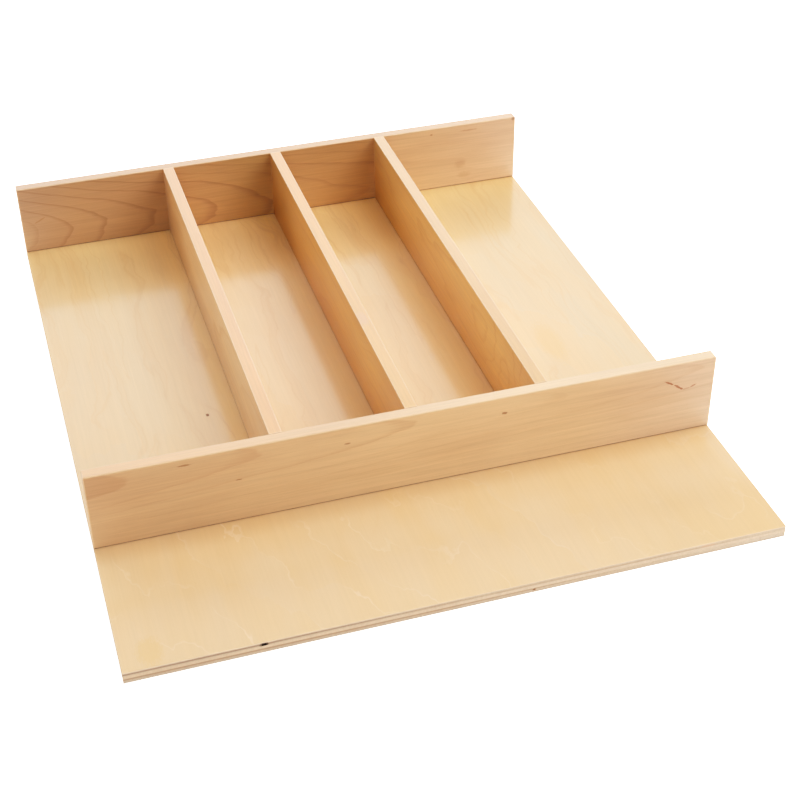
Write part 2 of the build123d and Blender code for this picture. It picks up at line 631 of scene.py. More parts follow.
@dataclass(frozen=True)
class Maple(Finish):
    """Solid maple, planed, sanded and lacquered satin."""

    slot: str = "maple_board"
    roughness: float = 0.52
    lacquer: float = 0.25
    lacquer_roughness: float = 0.22
    bare_gloss: float = 0.3
    top_lacquer: float = 1.0
    # Face colour along the board; the boards below fill it with painted shade and light, darker where the
    # bays and dividers shade the wood and lighter where it is lit.
    tones: Stops = ((0.0, (0.76, 0.415, 0.178)), (470.0, (0.76, 0.415, 0.178)))
    back: Colour = (0.72, 0.395, 0.17)
    late: Colour = (0.56, 0.225, 0.066)
    # Lighter corner colour: painted highlight along the arrises, and rubbed wear.
    highlight_and_rubbed: Colour = (0.88, 0.57, 0.31)
    end: Colour = (0.56, 0.275, 0.105)
    # Dark line at the foot joint: painted shade in the joint, and the glue line.
    joint_shade_and_glue: Colour = (0.10, 0.04, 0.016)
    joint_rise: tuple[float, float] = (1.15, 0.85)
    # Colours of the upward faces from the near end to the far end: painted light on the tops.
    near_top: Colour = (0.78, 0.43, 0.18)
    far_top: Colour = (0.78, 0.43, 0.18)
    # Painted light: a multiplier on the face colour, growing towards the foot.
    painted_light_at_foot: Colour = (1.0, 1.0, 1.0)
    heart: float = 8.0
    depth: float = 69.0
    taper: float = 0.0245
    reach: float = 4000.0
    spacing: float = 2.5
    wander: float = 3.0
    shift: float = 0.0
    knot: Triple = (-500.0, 0.0, 0.0)
    knot_size: float = 20.0
    knot_lift: float = 0.0
    line: float = 0.55
    line_fade: float = 90.0
    line_end: float = 600.0
    line_rest: float = 0.3
    heartwood: float = 0.0
    silk: float = 0.62
    fleck: float = 0.20
    highlight_and_rub: float = 0.6
    highlight_and_rub_width: float = 1.1
    seed: float = 0.0
    marks: tuple[Mark, ...] = ()

    def paint(self, s: Surface) -> None:
        """Lays the rings, fibre, end grain, marks, painted shade and light, and highlit, rubbed corners of
        one board.

        Args:
            s: the board's surface.
        """
        rings = s.pattern(
            "ring_figure", Heart=self.heart, Depth=self.depth, Taper=self.taper, Reach=self.reach,
            Spacing=self.spacing, Wander=self.wander, Knot=self.knot, Knot_Size=self.knot_size,
            Knot_Lift=self.knot_lift, Shift=self.shift, Seed=self.seed,
        )
        fibre = s.pattern("wood_fibre", Seed=self.seed)
        sawn = s.pattern("sawn_end", Facing=s.facing)
        length = s.width if s.lay is Lay.RAIL else s.depth
        along, down, deep = s.place.parts()
        upward = (s.facing.parts()[1] * -1.0).step(0.5, 0.9)

        # Painted shade and light along the faces, from the board's tones.
        colour = s.toned(along, self.tones)
        # Painted light on the lower part of the faces: lighter towards the foot.
        foot = s.blend(1.0, colour, self.painted_light_at_foot, "MULTIPLY")
        colour = s.blend(down.step(s.height * 0.2, s.height), colour, foot)
        if s.lay is Lay.RAIL:
            colour = s.blend(deep.step(s.depth * 0.3, s.depth * 0.7), colour, self.back)
        # Painted light on the top faces, changing from one end to the other.
        top = s.blend(along.step(0.0, length), self.near_top, self.far_top)
        colour = s.blend(upward, colour, top)
        plain = 1.0 - upward * 0.6
        colour = s.blend(rings["Ring"] * 0.10 * plain, colour, self.late)
        colour = s.blend(rings["Heartwood"] * self.heartwood, colour, self.late)
        begun = along.step(self.line_end + 30.0, self.line_end - 30.0)
        weight = (rings["Ring"] * 0.6 + 0.6) * (begun * (1.0 - self.line_rest) + self.line_rest) * plain
        line = rings["Line"] * weight * (down.step(self.line_fade, 0.0) * self.line)
        colour = s.blend(line, colour, self.late)
        colour = s.blend(fibre["Cloud"].step(0.42, 0.66) * 0.16, colour, self.late)
        colour = s.shaded(colour, fibre, self.silk)
        colour = s.blend(fibre["Fleck"] * self.fleck, colour, self.late)
        colour = s.blend(sawn["End"] * (sawn["Pores"] * 0.25 + 0.62), colour, self.end)
        # Dark line along the foot where the board meets the base: painted shade in the joint, and the glue
        # line.
        joint_high, joint_low = (s.height - rise for rise in self.joint_rise)
        colour = s.blend(down.step(joint_high, joint_low), colour, self.joint_shade_and_glue)
        # Lighter corners: painted highlight along the arrises, and rubbed wear.
        edge = s.pattern("highlit_rubbed_edge", Place=s.real, Low=s.low, High=s.high, Width=self.highlight_and_rub_width)
        colour = s.blend(edge["Mask"] * self.highlight_and_rub, colour, self.highlight_and_rubbed)
        colour, depth = s.marked(colour, self.marks)

        s.put("Coat Weight", upward * (self.top_lacquer - self.lacquer) + self.lacquer)
        s.put("Base Color", colour)
        s.put("Roughness", (fibre["Fibre"] - 0.5) * 0.22 + self.roughness + sawn["End"] * 0.2)
        s.relief(fibre["Fibre"] - (sawn["Pores"] + depth * 4.0) * 0.25, 0.10 * MM, 0.4)


@dataclass(frozen=True)
class BirchVeneer(Finish):
    """Rotary-cut birch face veneer under a clear lacquer."""

    slot: str = "birch_veneer"
    roughness: float = 0.55
    lacquer: float = 0.75
    lacquer_roughness: float = 0.15
    bare_gloss: float = 0.2
    # Colour along the grain; the sheets below fill it with painted shade and light.
    along: Stops = ((0.0, (0.80, 0.50, 0.26)), (559.0, (0.80, 0.50, 0.26)))
    # Multiplier across the face behind the front: painted shade, with darker, warmer strips beside each
    # divider.
    across: Stops = ((0.0, (1.0, 1.0, 1.0)), (470.0, (1.0, 1.0, 1.0)))
    pale: Colour = (0.94, 0.66, 0.39)
    brown: Colour = (0.74, 0.39, 0.155)
    gold: Colour = (0.86, 0.48, 0.18)
    edge: Colour = (0.80, 0.54, 0.32)
    figure_end: float = 150.0
    bold_side: tuple[float, float] = (340.0, 160.0)
    seed: float = 0.0
    marks: tuple[Mark, ...] = ()

    def paint(self, s: Surface) -> None:
        """Lays the contour lines in front, the streaks behind, the fibre, the marks and the painted shade
        and light along and across one outer ply.

        Args:
            s: the ply's surface.
        """
        figure = s.pattern("veneer_contour", Seed=self.seed)
        fibre = s.pattern("wood_fibre", Fleck_Share=0.64, Seed=self.seed)
        along, across, _ = s.place.parts()
        near = along.step(self.figure_end + 20.0, self.figure_end - 20.0)
        far = 1.0 - near
        bold = across.step(*self.bold_side) * 0.26 + 0.16
        contour = figure["Contour"] * (near * bold + 0.05)
        thread = figure["Thread"] * (far * 0.25 + 0.03)
        bands = figure["Streak"].step(0.48, 0.74) * (far * 0.16 + 0.06)

        # Painted shade and light on the veneer: the colour along the grain, and behind the front the
        # multiplier across it.
        ground = s.toned(along, self.along)
        painted_shade_across = s.blend(1.0, ground, s.toned(across, self.across), "MULTIPLY")
        ground = s.blend(near, painted_shade_across, ground)
        colour = s.blend(fibre["Cloud"].step(0.36, 0.68) * 0.30, ground, self.gold)
        colour = s.blend(figure["Field"] * 0.22, colour, self.gold)
        colour = s.blend(bands, colour, self.brown)
        colour = s.blend(thread, colour, self.brown)
        colour = s.blend(contour, colour, self.pale)
        colour = s.shaded(colour, fibre, far * 0.08 + 0.16)
        colour = s.blend(fibre["Fleck"] * 0.10, colour, self.brown)
        colour, depth = s.marked(colour, self.marks)
        upright = s.math("ABSOLUTE", s.facing.parts()[2]).step(0.4, 0.15)
        colour = s.blend(upright, colour, self.edge)

        s.put("Coat Weight", depth.step(0.5, 0.9) * -self.lacquer + self.lacquer)
        s.put("Base Color", colour)
        s.put("Roughness", (fibre["Fibre"] - 0.5) * 0.2 + self.roughness)
        s.relief(fibre["Fibre"] - depth * 0.8, 0.08 * MM, 0.35)


@dataclass(frozen=True)
class PlyEdge(Finish):
    """The sawn and sanded edge of an inner ply: fibre streaks one way and cut ends the other."""

    slot: str = "ply_crossband"
    roughness: float = 0.52
    lacquer: float = 0.15
    lacquer_roughness: float = 0.35
    bare_gloss: float = 0.3
    tones: Stops = ((0.0, (0.60, 0.41, 0.25)), (470.0, (0.64, 0.46, 0.30)))
    dark: Colour = (0.46, 0.28, 0.16)
    check: float = 0.35
    seed: float = 0.0
    marks: tuple[Mark, ...] = ()

    def paint(self, s: Surface) -> None:
        """Lays the tone, fibre, checks and marks of one inner ply.

        Args:
            s: the ply's surface.
        """
        fibre = s.pattern("wood_fibre", Seed=self.seed)
        sawn = s.pattern("sawn_end", Facing=s.facing, Pore_Scale=2.2)
        checks = s.cloud(s.place * (0.05, 0.9, 0.25) + (self.seed, 0.0, 0.0), 2.0, 0.6).step(0.56, 0.70)
        tone = s.cloud(s.place * (0.03, 0.03, 0.6), 2.0)
        ground = s.toned(s.place.parts()[1], self.tones)
        colour = s.blend(tone.step(0.35, 0.7) * 0.4, ground, self.dark)
        colour = s.shaded(colour, fibre, 0.8)
        colour = s.blend(checks * sawn["End"] * self.check, colour, self.dark)
        s.put("Base Color", s.marked(colour, self.marks)[0])
        s.put("Roughness", fibre["Fibre"] * 0.2 + self.roughness)
        s.relief(fibre["Fibre"] - (checks + sawn["Pores"]) * 0.4, 0.15 * MM, 0.6)


@dataclass(frozen=True)
class StapleWire(Finish):
    """Galvanised flat wire, with drawing lines and dull zinc bloom."""

    slot: str = "staple_wire"
    roughness: float = 0.34
    lacquer: float = 0.0
    lacquer_roughness: float = 0.3
    bare_gloss: float = 0.5
    bright: Colour = (0.66, 0.66, 0.64)
    bloom: Colour = (0.46, 0.47, 0.48)

    def paint(self, s: Surface) -> None:
        """Lays the metal, its bloom and its drawing lines.

        Args:
            s: the row's surface.
        """
        zinc = s.cloud(s.place * (1.4, 1.4, 1.4), 3.0).step(0.48, 0.62)
        s.put("Base Color", s.blend(zinc * 0.7, self.bright, self.bloom))
        s.put("Metallic", 1.0)
        s.put("Roughness", zinc * 0.22 + self.roughness)
        s.relief(s.cloud(s.place * (0.6, 0.6, 9.0), 2.0), 0.02 * MM, 0.5)


# ---------------------------------------------------------------------------------------------
# Shared mesh work


def sand(bm: bmesh.types.BMesh, edges: Iterable[bmesh.types.BMEdge], offset: float, segments: int) -> None:
    """Rounds edges over.

    Args:
        bm: the mesh.
        edges: the edges.
        offset: how far back the rounding starts, in metres.
        segments: how many flats make it.
    """
    bmesh.ops.bevel(
        bm, geom=[edge for edge in edges if edge.is_valid], offset=offset, segments=segments, profile=0.5,
        affect="EDGES", material=-1, clamp_overlap=True,
    )


def as_object(bm: bmesh.types.BMesh, name: str) -> bpy.types.Object:
    """Puts a bmesh into the scene as an object.

    Args:
        bm: the mesh, which is freed.
        name: the object's name.

    Returns:
        The object.
    """
    mesh = bpy.data.meshes.new(name)
    bm.to_mesh(mesh)
    bm.free()
    made = bpy.data.objects.new(name, mesh)
    bpy.context.scene.collection.objects.link(made)
    return made


def keep_piece(
    bm: bmesh.types.BMesh, name: str, node: str, finish: Finish, lay: Lay, box: Box,
) -> bpy.types.Object:
    """Turns a finished bmesh into the piece that stands for a CAD node.

    Args:
        bm: the mesh, in place, which is freed.
        name: the piece's name.
        node: the CAD node that it replaces.
        finish: its finish.
        lay: how it lies.
        box: the box that its finish reads.

    Returns:
        The piece.
    """
    bmesh.ops.recalc_face_normals(bm, faces=bm.faces[:])
    piece = as_object(bm, name)
    piece.data.materials.append(finish.material(name, lay, box))
    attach(piece, BODY)
    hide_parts(node)
    return piece


def pit(centre: Vector, half: Vector, roughen: float, slope: float = 0.0) -> bmesh.types.BMesh:
    """Makes the shape of a pit, hole or crack, to be cut out of a board.

    Args:
        centre: its middle, in metres.
        half: its half sizes, in metres.
        roughen: how uneven it is, from 0 to 1.
        slope: how steeply it falls along X.

    Returns:
        The closed shape.
    """
    bm = bmesh.new()
    bmesh.ops.create_uvsphere(bm, u_segments=20, v_segments=12, radius=1.0)
    for vert in bm.verts:
        swell = 1.0 + roughen * noise.noise(vert.co * 1.7 + centre / MM)
        x, y, z = (value * swell * side for value, side in zip(vert.co, half))
        vert.co = centre + Vector((x, y, z - slope * x))
    return bm


def carve(piece: bpy.types.Object, shapes: Iterable[bmesh.types.BMesh]) -> None:
    """Cuts shapes out of a piece and keeps the result as its mesh.

    Args:
        piece: the piece.
        shapes: the closed shapes, which are freed.
    """
    cutters = []
    for shape in shapes:
        cutter = as_object(shape, "cutter")
        cutters.append(cutter)
        cut = piece.modifiers.new("cut", "BOOLEAN")
        cut.operation = "DIFFERENCE"
        cut.solver = "EXACT"
        cut.object = cutter
    seen = piece.evaluated_get(bpy.context.evaluated_depsgraph_get())
    carved = bpy.data.meshes.new_from_object(seen)
    piece.modifiers.clear()
    piece.data = carved
    for cutter in cutters:
        bpy.data.objects.remove(cutter)


# ---------------------------------------------------------------------------------------------
# The pieces


@dataclass
class Board:
    """A rail or divider: a planed board with sanded corners."""

    node: str
    lay: Lay
    finish: Maple
    arris: float = 0.6 * MM
    bottom_arris: float = 0.6 * MM
    pits: list[tuple[Triple, Triple, float]] = field(default_factory=list)

    def shape(self, box: Box) -> bmesh.types.BMesh:
        """Cuts the board to size and sands its corners.

        Args:
            box: the board's box.

        Returns:
            The board's mesh.
        """
        bm = bmesh.new()
        bmesh.ops.create_cube(
            bm, size=1.0, matrix=Matrix.Translation(box.middle) @ Matrix.Diagonal((*box.size, 1.0)),
        )
        top = [e for e in bm.edges if all(v.co.z > box.middle.z for v in e.verts)]
        upright = [e for e in bm.edges if abs(e.verts[0].co.z - e.verts[1].co.z) > box.size.z / 2]
        foot = [e for e in bm.edges if all(v.co.z < box.middle.z for v in e.verts)]
        if self.lay is Lay.DIVIDER:
            top = [e for e in top if abs(e.verts[0].co.y - e.verts[1].co.y) > box.size.y / 2]
            foot = [e for e in foot if abs(e.verts[0].co.y - e.verts[1].co.y) > box.size.y / 2]
            upright = []
        sand(bm, foot, self.bottom_arris, 1)
        sand(bm, top + upright, self.arris, 4)
        return bm

    def build(self) -> bpy.types.Object:
        """Makes the board and cuts its pits.

        Returns:
            The board.
        """
        box = Box.of(self.node)
        piece = keep_piece(self.shape(box), self.node + "_wood", self.node, self.finish, self.lay, box)
        carve(piece, [self.pit_at(box, *one) for one in self.pits])
        return piece

    def pit_at(self, box: Box, centre: Triple, half: Triple, slope: float) -> bmesh.types.BMesh:
        """Makes the shape of a pit in a rail.

        Args:
            box: the rail's box.
            centre: its middle along the rail, down from its top and into its front, in millimetres.
            half: its half sizes the same way.
            slope: how steeply it falls along the rail.

        Returns:
            The closed shape.
        """
        x, down, deep = (value * MM for value in centre)
        middle = Vector((box.low.x + x, box.low.y + deep, box.high.z - down))
        return pit(middle, Vector((half[0], half[2], half[1])) * MM, 0.3, slope)


@dataclass
class Ply:
    """One layer of the base, from its box in the frame."""

    node: str
    finish: Finish
    recess: float = 0.0
    arris: float = 0.0
    arris_up: bool = True
    pits: list[tuple[tuple[float, float], Triple]] = field(default_factory=list)


@dataclass
class PlywoodBase:
    """The trimmed plywood base: five plies, their glue lines a little wavy at the sawn edges."""

    plies: list[Ply]
    wave: float = 0.11 * MM
    wave_length: float = 26.0 * MM
    cuts: int = 70
    nick_half: Triple = (3.0, 0.85, 1.25)

    def glue_line(self, x: float, y: float, z: float) -> float:
        """Gives the height of a glue line near its nominal height.

        Args:
            x: the place across the base, in metres.
            y: the place along it.
            z: the nominal height.

        Returns:
            The height there.
        """
        spot_on = Vector((x, y, z * 40.0)) / self.wave_length
        return z + self.wave * noise.noise(spot_on)

    def slab(self, ply: Ply, box: Box, whole: Box) -> bmesh.types.BMesh:
        """Lays one ply: its outline, raised to its thickness, its hidden faces wavy.

        Args:
            ply: the ply.
            box: the ply's box.
            whole: the base's box.

        Returns:
            The ply's mesh.
        """
        bm = bmesh.new()
        width, depth = box.size.x / 2 - ply.recess, box.size.y / 2 - ply.recess
        place = Matrix.Translation((box.middle.x, box.middle.y, box.low.z))
        bmesh.ops.create_grid(
            bm, x_segments=1, y_segments=1, size=1.0,
            matrix=place @ Matrix.Diagonal((width, depth, 1.0, 1.0)),
        )
        bmesh.ops.subdivide_edges(bm, edges=bm.edges[:], cuts=self.cuts)
        raised = bmesh.ops.extrude_face_region(bm, geom=bm.faces[:], use_keep_orig=True)
        tops = [item for item in raised["geom"] if isinstance(item, bmesh.types.BMVert)]
        bmesh.ops.translate(bm, verts=tops, vec=(0.0, 0.0, box.size.z))
        if ply.arris:
            level = box.high.z if ply.arris_up else box.low.z
            rim = [e for e in bm.edges if all(abs(v.co.z - level) < self.wave / 10 for v in e.verts)]
            sand(bm, rim, ply.arris, 2)
        for vert in bm.verts:
            for level in (box.low.z, box.high.z):
                hidden = whole.low.z + self.wave < level < whole.high.z - self.wave
                if hidden and abs(vert.co.z - level) < self.wave / 10:
                    vert.co.z = self.glue_line(vert.co.x, vert.co.y, level)
        return bm

    def nicks(self, ply: Ply, box: Box) -> list[bmesh.types.BMesh]:
        """Makes the shapes that the sunk staple crowns left in the underside.

        Args:
            ply: the ply that is cut.
            box: its box.

        Returns:
            One shape for each staple, if this is the ply that shows them.
        """
        if ply.arris == 0.0 or ply.arris_up:
            return []
        shapes = []
        for row in StapleRow.rows():
            for place in row.places():
                half = Vector(self.nick_half) * MM
                if row.lay is Lay.DIVIDER:
                    half.x, half.y = half.y, half.x
                shapes.append(pit(Vector((place.x, place.y, box.low.z)), half, 0.12))
        return shapes

    def build(self) -> list[bpy.types.Object]:
        """Makes every ply.

        Returns:
            The plies, from the top down.
        """
        whole = Box.of(*(ply.node for ply in self.plies))
        made = []
        for ply in self.plies:
            box = Box.of(ply.node)
            piece = keep_piece(
                self.slab(ply, box, whole), ply.node + "_sheet", ply.node, ply.finish, Lay.SHEET, box,
            )
            shapes = [
                pit(Vector((x * MM, box.low.y, z * MM)), Vector(half) * MM, 0.5)
                for (x, z), half in ply.pits
            ]
            carve(piece, shapes + self.nicks(ply, box))
            made.append(piece)
        return made


@dataclass
class StapleRow:
    """The staples under one board: bent flat wire with chisel points."""

    node: str
    lay: Lay
    count: int
    finish: StapleWire = field(default_factory=StapleWire)
    crown: float = 5.7 * MM
    wire_width: float = 1.25 * MM
    wire_thickness: float = 1.0 * MM
    bend: float = 0.8 * MM
    bend_steps: int = 5
    point_slope: float = 40.0

    @classmethod
    def rows(cls) -> list["StapleRow"]:
        """Lists the rows: five staples in each rail and four in each divider.

        Returns:
            The rows.
        """
        rails = [cls(f"{rail}_staples", Lay.RAIL, 5) for rail in ("front_rail", "back_rail")]
        dividers = [
            cls(f"divider_{side}_staples", Lay.DIVIDER, 4) for side in ("left", "centre", "right")
        ]
        return rails + dividers

    def places(self) -> list[Vector]:
        """Works out where the staples stand, evenly from one end of the row's box to the other.

        Returns:
            The middle of each crown's underside.
        """
        box = Box.of(self.node)
        axis = 0 if self.lay is Lay.RAIL else 1
        first, last = box.low[axis] + self.crown / 2, box.high[axis] - self.crown / 2
        places = []
        for index in range(self.count):
            place = Vector((box.middle.x, box.middle.y, box.low.z))
            place[axis] = first + (last - first) * index / (self.count - 1)
            places.append(place)
        return places

    def wire(self, bm: bmesh.types.BMesh, height: float) -> list[bmesh.types.BMVert]:
        """Bends one staple at the origin, its crown along X at z = 0 and its legs up.

        Args:
            bm: the mesh that it is added to.
            height: the length of its legs.

        Returns:
            Its vertices.
        """
        before = set(bm.verts)
        outer = self.crown / 2
        half = self.wire_thickness / 2
        place = Matrix.Translation((outer - half, 0.0, height))
        section = place @ Matrix.Diagonal((half, self.wire_width / 2, 1.0, 1.0))
        corners = bmesh.ops.create_grid(bm, x_segments=1, y_segments=1, size=1.0, matrix=section)["verts"]
        face = corners[0].link_faces[0]
        reach = self.bend + half
        runs = (
            ((0.0, 0.0, -(height - reach)), None),
            (None, (outer - reach - half, 0.0, reach)),
            ((-2 * (outer - reach - half), 0.0, 0.0), None),
            (None, (-(outer - reach - half), 0.0, reach)),
            ((0.0, 0.0, height - reach), None),
        )
        for run, centre in runs:
            if run:
                grown = bmesh.ops.extrude_face_region(bm, geom=[face])
                tip = [g for g in grown["geom"] if isinstance(g, bmesh.types.BMVert)]
                bmesh.ops.translate(bm, verts=tip, vec=run)
                face = next(g for g in grown["geom"] if isinstance(g, bmesh.types.BMFace))
            else:
                turned = bmesh.ops.spin(
                    bm, geom=[face, *face.edges, *face.verts], cent=centre, axis=(0.0, 1.0, 0.0),
                    angle=math.pi / 2, steps=self.bend_steps,
                )
                face = next(g for g in turned["geom_last"] if isinstance(g, bmesh.types.BMFace))
        return [v for v in bm.verts if v not in before]

    def sharpen(self, bm: bmesh.types.BMesh, verts: list[bmesh.types.BMVert], height: float) -> None:
        """Cuts the legs' tips to chisel points, longer on the inside.

        Args:
            bm: the mesh.
            verts: the staple's vertices.
            height: the length of its legs.
        """
        slope = math.radians(self.point_slope)
        inside = self.crown / 2 - self.wire_thickness
        for side in (-1.0, 1.0):
            live = [v for v in verts if v.is_valid]
            edges = {e for v in live for e in v.link_edges}
            faces = {f for v in live for f in v.link_faces}
            cut = bmesh.ops.bisect_plane(
                bm, geom=[*live, *edges, *faces], dist=self.wire_thickness / 1000,
                plane_co=(side * inside, 0.0, height),
                plane_no=(side * math.sin(slope), 0.0, math.cos(slope)), clear_outer=True,
            )
            rim = [item for item in cut["geom_cut"] if isinstance(item, bmesh.types.BMEdge)]
            bmesh.ops.edgeloop_fill(bm, edges=rim)

    def build(self) -> bpy.types.Object:
        """Makes the row of staples.

        Returns:
            The row as one piece.
        """
        box = Box.of(self.node)
        bm = bmesh.new()
        for place in self.places():
            before = set(bm.verts)
            self.sharpen(bm, self.wire(bm, box.size.z), box.size.z)
            verts = [v for v in bm.verts if v not in before]
            turn = Matrix.Rotation(math.pi / 2 if self.lay is Lay.DIVIDER else 0.0, 4, "Z")
            bmesh.ops.transform(bm, matrix=Matrix.Translation(place) @ turn, verts=verts)
        bmesh.ops.remove_doubles(bm, verts=bm.verts[:], dist=self.wire_thickness / 100)
        return keep_piece(bm, self.node + "_wire", self.node, self.finish, self.lay, box)


# ---------------------------------------------------------------------------------------------
# The studio


@dataclass(frozen=True)
class Softbox:
    """One panel of light, at an azimuth from the back towards the right, aimed at the insert."""

    name: str
    azimuth: float
    elevation: float
    distance: float
    width: float
    height: float
    watts: float

    def hang(self) -> None:
        """Adds the light to the scene."""
        around, up = math.radians(self.azimuth), math.radians(self.elevation)
        place = self.distance * Vector((
            math.sin(around) * math.cos(up), math.cos(around) * math.cos(up), math.sin(up),
        ))
        panel(self.name, place, Vector(), self.width, self.height, self.watts)


def panel(name: str, place: Vector, aim: Vector, width: float, height: float, watts: float) -> None:
    """Adds a rectangular light.

    Args:
        name: its name.
        place: where it hangs.
        aim: what it faces.
        width: its width in metres.
        height: its height in metres.
        watts: its power.
    """
    light = bpy.data.lights.new(name, "AREA")
    light.shape = "RECTANGLE"
    light.size = width
    light.size_y = height
    light.energy = watts
    lamp = bpy.data.objects.new(name, light)
    lamp.location = place
    lamp.rotation_euler = (aim - place).to_track_quat("-Z", "Y").to_euler()
    bpy.context.scene.collection.objects.link(lamp)


@dataclass
class Studio:
    """A plain pale floor, a bright backdrop behind, soft panels and the camera."""

    floor_size: float = 40.0
    floor_tone: float = 0.92
    floor_glow: float = 0.68
    floor_lift: float = 1.0
    floor_gap: float = 0.4 * MM
    sky: float = 2.0
    backdrop_distance: float = 3.0
    backdrop_width: float = 6.0
    backdrop_split: float = 1.9
    backdrop_top: float = 2.7
    backdrop_watts: tuple[float, float] = (105.0, 59.0)
    camera_place: Triple = (-0.26595, -1.00349, 0.73193)
    camera_turn: Triple = (53.991, 0.5628, -17.1426)
    camera_lens: float = 70.338
    white: float = 1.6
    shoulder: float = 0.6
    softboxes: tuple[Softbox, ...] = (
        Softbox("high_back", 7.8, 51.6, 3.57, 2.5, 1.2, 16.4),
        Softbox("overhead", 0.0, 90.0, 2.5, 1.6, 1.6, 16.0),
        Softbox("right_high", 90.0, 60.0, 2.4, 1.4, 1.4, 21.5),
        Softbox("right_low", 90.0, 30.0, 2.4, 1.4, 1.0, 17.1),
        Softbox("left_fill", -90.0, 22.0, 2.4, 1.4, 1.0, 15.2),
        Softbox("front_fill", 140.0, 35.0, 2.4, 1.4, 1.4, 31.0),
        Softbox("front_low", 180.0, 22.0, 2.6, 2.5, 1.0, 16.0),
    )

    def build(self) -> None:
        """Sets up the whole studio."""
        self.lay_floor()
        self.light()
        self.place_camera()
        self.set_tones()

    def lay_floor(self) -> None:
        """Lays the floor a hair below the insert, clear from below, and no part of the object."""
        bm = bmesh.new()
        bmesh.ops.create_grid(bm, x_segments=1, y_segments=1, size=self.floor_size / 2)
        floor = as_object(bm, "floor")
        floor.location.z = -self.floor_gap
        material = bpy.data.materials.new("floor")
        material.use_nodes = True
        shader = material.node_tree.nodes["Principled BSDF"]
        shader.inputs["Base Color"].default_value = (self.floor_tone,) * 3 + (1.0,)
        shader.inputs["Roughness"].default_value = 0.8
        shader.inputs["Emission Color"].default_value = (1.0, 1.0, 1.0, 1.0)
        w = Wiring(material.node_tree)
        seen = Signal(w, w.node("ShaderNodeLightPath").outputs["Is Camera Ray"])
        w.feed(shader.inputs["Emission Strength"], seen * self.floor_lift + self.floor_glow)
        under = Signal(w, w.node("ShaderNodeNewGeometry").outputs["Backfacing"])
        clear = w.outputs("ShaderNodeBsdfTransparent")[0]
        solid = Signal(w, shader.outputs["BSDF"])
        sides = w.outputs("ShaderNodeMixShader", seen * under, solid, clear)[0]
        w.feed(w.tree.nodes["Material Output"].inputs["Surface"], sides)
        floor.data.materials.append(material)

    def light(self) -> None:
        """Hangs the lights and gives the surroundings their tone."""
        away = self.backdrop_distance
        bands = ((0.0, self.backdrop_split), (self.backdrop_split, self.backdrop_top))
        for index, ((low, high), watts) in enumerate(zip(bands, self.backdrop_watts)):
            middle = (low + high) / 2
            panel(f"backdrop_{index}", Vector((0.0, away, middle)), Vector((0.0, 0.0, middle)),
                  self.backdrop_width, high - low, watts)
        for softbox in self.softboxes:
            softbox.hang()
        world = bpy.data.worlds.new("studio")
        bpy.context.scene.world = world
        world.use_nodes = True
        background = world.node_tree.nodes["Background"]
        w = Wiring(world.node_tree)
        seen = Signal(w, w.node("ShaderNodeLightPath").outputs["Is Camera Ray"])
        background.inputs["Color"].default_value = (1.0, 1.0, 1.0, 1.0)
        w.feed(background.inputs["Strength"], seen * self.sky)

    def place_camera(self) -> None:
        """Places the camera at the view of the insert from above its front left corner."""
        camera = bpy.data.objects.new("camera", bpy.data.cameras.new("camera"))
        camera.location = self.camera_place
        camera.rotation_euler = [math.radians(angle) for angle in self.camera_turn]
        camera.data.lens = self.camera_lens
        camera.data.sensor_width = 36.0
        bpy.context.scene.collection.objects.link(camera)
        bpy.context.scene.camera = camera

    def set_tones(self) -> None:
        """Rolls the highlights off softly, as film does: light = tone + shoulder * tone ** 4."""
        view = bpy.context.scene.view_settings
        view.view_transform = "Standard"
        view.use_curve_mapping = True
        mapping = view.curve_mapping
        mapping.white_level = (self.white,) * 3
        curve = mapping.curves[3]
        for tone in (0.2, 0.4, 0.55, 0.7, 0.8, 0.9):
            curve.points.new((tone + self.shoulder * tone ** 4) / self.white, tone)
        mapping.update()


# ---------------------------------------------------------------------------------------------
# The insert


PIN = (0.30, 0.125, 0.045)
RUST = (0.36, 0.145, 0.05)
CHECK = (0.38, 0.13, 0.05)
# Painted shadow for the inside of a void.
VOID_SHADOW = (0.03, 0.017, 0.010)
PINK = (0.66, 0.33, 0.19)
BLOTCH = (0.80, 0.43, 0.12)

# Front rail: its tones are painted shade and light along the front face, darker towards the left end; its
# top colours and lighter foot are painted light.
FRONT_RAIL = Maple(
    tones=(
        (0.0, (0.58, 0.31, 0.142)), (60.0, (0.595, 0.335, 0.157)), (130.0, (0.645, 0.37, 0.175)),
        (235.0, (0.705, 0.413, 0.198)), (340.0, (0.71, 0.42, 0.208)), (455.0, (0.69, 0.425, 0.25)),
    ),
    near_top=(0.765, 0.388, 0.16), far_top=(0.84, 0.545, 0.287), painted_light_at_foot=(1.12, 1.19, 1.23),
    heart=8.0, depth=69.0, taper=0.0245, spacing=2.5, wander=1.9, shift=0.80, line=0.42,
    line_fade=66.0, line_end=250.0, line_rest=0.5, heartwood=0.40, late=(0.42, 0.185, 0.07), seed=1.3,
    marks=(
        Mark((69.0, 5.6, 0.0), (4.8, 0.75, 1.2), PIN, 0.85),
        Mark((106.0, 27.0, 0.0), (2.2, 0.5, 1.0), PIN, 0.9),
        Mark((185.0, 14.0, 0.0), (2.2, 0.7, 1.0), PIN, 0.8),
        Mark((303.0, 14.0, 0.0), (2.2, 0.9, 1.0), PIN, 0.9),
        Mark((433.4, 16.3, 0.0), (3.6, 0.9, 1.0), CHECK, 0.95, 0.56, 0.45),
        Mark((441.2, 21.4, 0.0), (3.8, 1.05, 1.0), CHECK, 0.95, 0.70, 0.45),
        Mark((447.6, 23.9, 0.0), (2.8, 0.6, 1.0), CHECK, 0.45, -0.1, 0.4),
        Mark((453.2, 22.4, 0.0), (2.6, 0.75, 1.0), CHECK, 0.80, -0.35, 0.4),
    ),
)
